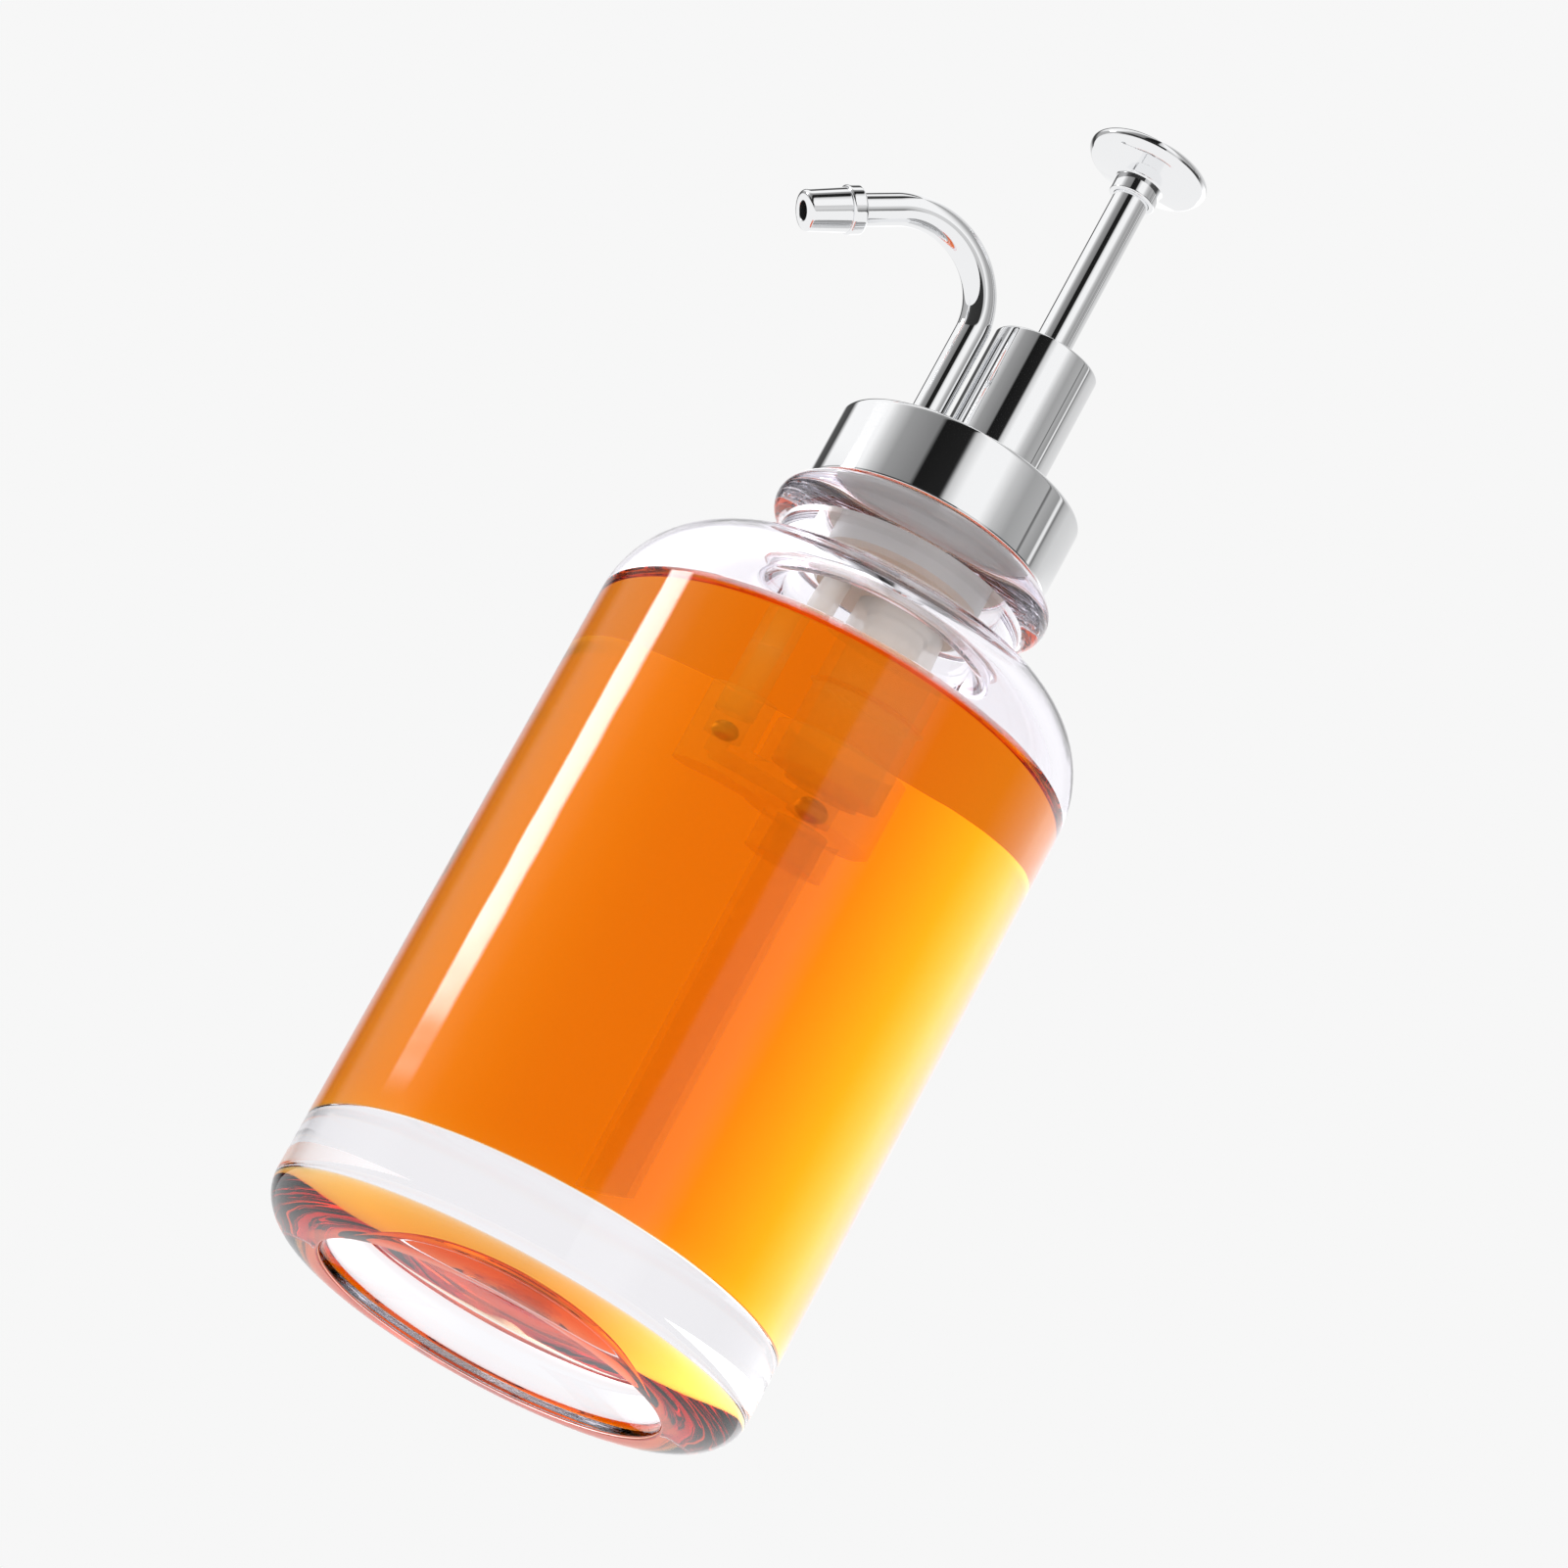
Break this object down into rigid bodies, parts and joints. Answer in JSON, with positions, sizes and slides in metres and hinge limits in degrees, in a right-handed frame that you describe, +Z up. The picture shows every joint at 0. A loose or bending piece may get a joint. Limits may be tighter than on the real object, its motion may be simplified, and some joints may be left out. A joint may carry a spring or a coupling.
{
  "type": "syrup dispenser",
  "caption": "Free-standing glass bottle of syrup with a screw-on pump head: a gooseneck spout beside a spring-returned press plunger.",
  "frame": {"origin": "centre of the bottle's foot, in the plane of the surface that it stands on", "axes": "+Z up along the bottle's axis, -X towards the spout; the rod and the spout lie in the XZ plane"},
  "size_m": [0.0843, 0.08, 0.22],
  "materials": {
    "glass": "clear thick glass, polished",
    "syrup": "clear amber syrup",
    "chrome": "mirror chrome plate",
    "grey_plastic": "moulded grey plastic",
    "white_plastic": "moulded white plastic",
    "rubber": "moulded black seal",
    "steel": "bright stainless steel"
  },
  "bodies": {
    "bottle": {"glass_bottle": "glass", "syrup": "syrup"},
    "gasket": {"neck_gasket": "rubber"},
    "head": {"cap_shell": "chrome", "cap_liner": "grey_plastic", "neck_insert": "grey_plastic", "pump_housing": "chrome", "guide_bush": "white_plastic", "return_spring": "steel", "rod_seal": "rubber", "seal_gland": "white_plastic", "pump_barrel": "white_plastic", "valve_body": "white_plastic", "valve_cage": "white_plastic", "delivery_tube": "white_plastic", "dip_tube": "white_plastic", "spout_tube": "chrome", "spout_seal": "rubber", "nozzle_collar": "chrome", "nozzle_tip": "chrome"},
    "plunger": {"press_knob": "chrome", "plunger_rod": "chrome", "stop_collar": "steel", "piston": "white_plastic", "piston_seal": "rubber", "piston_nut": "steel"},
    "inlet_ball": {"inlet_ball": "steel"},
    "outlet_ball": {"outlet_ball": "steel"}
  },
  "joints": [
    {"name": "head_lift", "type": "slide", "parent": "bottle", "child": "gasket", "axis": [0, 0, 1], "range_m": [0, 0.145]},
    {"name": "head_turn", "type": "hinge", "parent": "gasket", "child": "head", "pos_m": [0, 0, 0.153], "axis": [0, 0, 1], "range_deg": [0, 450]},
    {"name": "plunger_press", "type": "slide", "parent": "head", "child": "plunger", "axis": [0, 0, -1], "range_m": [0, 0.026], "stiffness_N_per_m": 480, "springref_m": -0.012, "deforming": ["return_spring"]},
    {"name": "inlet_ball_lift", "type": "slide", "parent": "head", "child": "inlet_ball", "axis": [0, 0, 1], "range_m": [0, 0.0011]},
    {"name": "outlet_ball_lift", "type": "slide", "parent": "head", "child": "outlet_ball", "axis": [0, 0, 1], "range_m": [0, 0.0012]}
  ]
}
